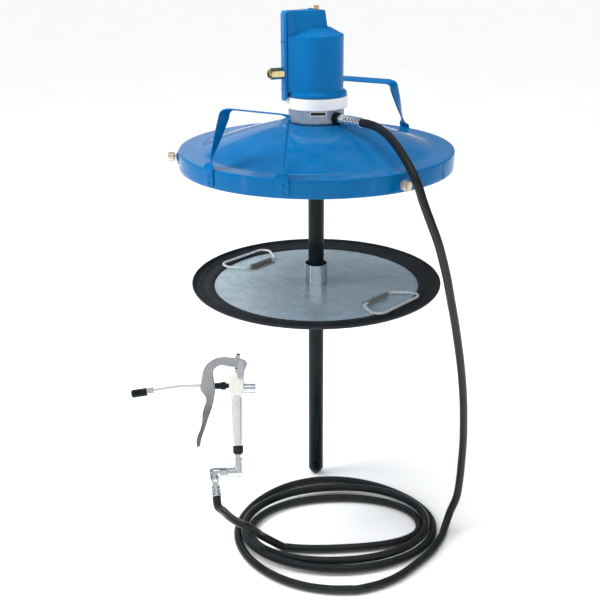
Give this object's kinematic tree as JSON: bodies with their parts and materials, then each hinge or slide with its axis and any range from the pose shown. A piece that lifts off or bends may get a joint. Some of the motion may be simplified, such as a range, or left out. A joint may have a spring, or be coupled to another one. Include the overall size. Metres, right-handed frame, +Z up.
{
  "type": "drum grease pump",
  "caption": "Air-operated grease pump on a domed drum cover with strap handles, long pump tube, sliding follower plate, coiled hose and lever control valve",
  "frame": {"origin": "centre of the plane on the drum's rim that the cover's flat land rests on, on the pump's axis", "axes": "+Z up along the pump, +X to the right and -Y towards the viewer as pictured"},
  "size_m": [0.7306, 0.77, 1.14],
  "materials": {
    "blue_paint": "gloss enamel",
    "zinc_casting": "die cast, bare",
    "zinc_steel": "zinc plated",
    "galvanized": "galvanized sheet",
    "chrome": "bright",
    "cast_head": "bare casting",
    "brass": "passivated",
    "black_steel": "black finish",
    "white_band": "plain white",
    "black_rubber": "moulded",
    "hose_rubber": "smooth cover"
  },
  "bodies": {
    "pump": {"drum_cover": "blue_paint", "cover_skirt": "blue_paint", "front_handle": "blue_paint", "rear_handle": "blue_paint", "handle_rivets": "blue_paint", "screw_bosses": "blue_paint", "cover_locknut": "zinc_steel", "pump_base": "zinc_casting", "outlet_adapter": "black_steel", "rod_packing": "black_rubber", "exhaust_band": "white_band", "exhaust_lip": "white_band", "motor_housing": "blue_paint", "manifold_gasket": "black_rubber", "manifold_cover": "blue_paint", "manifold_screws": "zinc_steel", "air_inlet": "brass", "top_plug": "brass", "pump_tube": "black_steel", "foot_valve": "black_steel", "pump_hose_end": "zinc_steel", "hose_drop": "hose_rubber", "hose_coil": "hose_rubber", "hose_rise": "hose_rubber", "valve_hose_end": "zinc_steel", "hose_elbow": "zinc_casting", "swivel_stub": "zinc_steel"},
    "follower": {"follower_plate": "galvanized", "follower_wiper": "black_rubber", "guide_sleeve": "chrome", "sleeve_seal": "black_rubber", "left_clip": "zinc_steel", "right_clip": "zinc_steel"},
    "bail_left": {"left_bail": "zinc_steel"},
    "bail_right": {"right_bail": "zinc_steel"},
    "screw_front": {"tie_screw_front": "brass"},
    "screw_left": {"tie_screw_left": "brass"},
    "screw_rear": {"tie_screw_rear": "brass"},
    "power_rod": {"air_piston": "zinc_casting", "piston_seal": "black_rubber", "pump_rod": "chrome", "pump_plunger": "zinc_steel"},
    "spool": {"valve_spool": "zinc_steel"},
    "swivel": {"swivel_nut": "zinc_steel", "valve_elbow": "zinc_casting"},
    "control_valve": {"elbow_nut": "zinc_steel", "handle_ring": "black_rubber", "valve_handle": "zinc_casting", "valve_head": "cast_head", "head_cap": "zinc_steel", "outlet_nut": "black_steel", "outlet_tube": "chrome", "coupler_body": "black_steel", "coupler_collar": "zinc_steel"},
    "link": {"link_plates": "zinc_steel", "link_pins": "zinc_steel"},
    "lever": {"trigger_lever": "zinc_steel", "set_screw": "black_steel"},
    "pin": {"valve_pin": "zinc_steel"}
  },
  "joints": [
    {"name": "follower_slide", "type": "slide", "parent": "pump", "child": "follower", "axis": [0, 0, 1], "range_m": [-0.46, 0.25]},
    {"name": "left_bail_lift", "type": "hinge", "parent": "follower", "child": "bail_left", "pos_m": [-0.13687, 0.1169, -0.3157], "axis": [0.6494, 0.7604, 0], "range_deg": [0, 175]},
    {"name": "right_bail_lift", "type": "hinge", "parent": "follower", "child": "bail_right", "pos_m": [0.13687, -0.1169, -0.3157], "axis": [-0.6494, -0.7604, 0], "range_deg": [0, 175]},
    {"name": "front_screw_feed", "type": "slide", "parent": "pump", "child": "screw_front", "axis": [-0.5446, 0.8387, 0], "range_m": [-0.004, 0.0042]},
    {"name": "left_screw_feed", "type": "slide", "parent": "pump", "child": "screw_left", "axis": [0.9986, 0.0523, 0], "range_m": [-0.004, 0.0042]},
    {"name": "rear_screw_feed", "type": "slide", "parent": "pump", "child": "screw_rear", "axis": [-0.454, -0.891, 0], "range_m": [-0.004, 0.0042]},
    {"name": "pump_stroke", "type": "slide", "parent": "pump", "child": "power_rod", "axis": [0, 0, 1], "range_m": [0, 0.075]},
    {"name": "spool_shift", "type": "slide", "parent": "pump", "child": "spool", "axis": [0, 0, 1], "range_m": [0, 0.01]},
    {"name": "hose_swivel", "type": "hinge", "parent": "pump", "child": "swivel", "pos_m": [-0.18189, -0.36524, -0.6091], "axis": [0.9996, 0.0122, 0.0251], "range_deg": [-55, 95]},
    {"name": "valve_swivel", "type": "hinge", "parent": "swivel", "child": "control_valve", "pos_m": [-0.16285, -0.3501, -0.57805], "axis": [-0.0279, 0.4382, 0.8984], "continuous": true},
    {"name": "trigger_squeeze", "type": "hinge", "parent": "control_valve", "child": "link", "pos_m": [-0.1587, -0.27703, -0.42824], "axis": [0, -0.8988, 0.4384], "range_deg": [0, 10], "stiffness_Nm_per_rad": 2, "springref_deg": -14.32},
    {"name": "lever_tilt", "type": "hinge", "parent": "link", "child": "lever", "pos_m": [-0.15708, -0.26473, -0.40303], "axis": [0, -0.8988, 0.4384], "range_deg": [0, 10]},
    {"name": "valve_pin_press", "type": "slide", "parent": "control_valve", "child": "pin", "axis": [0.0279, -0.4382, -0.8984], "range_m": [0, 0.0032]}
  ],
  "couplings": [
    {"joint": "lever_tilt", "follows": "trigger_squeeze", "ratio": 1},
    {"joint": "valve_pin_press", "follows": "trigger_squeeze", "m_per_rad": 0.0183}
  ]
}
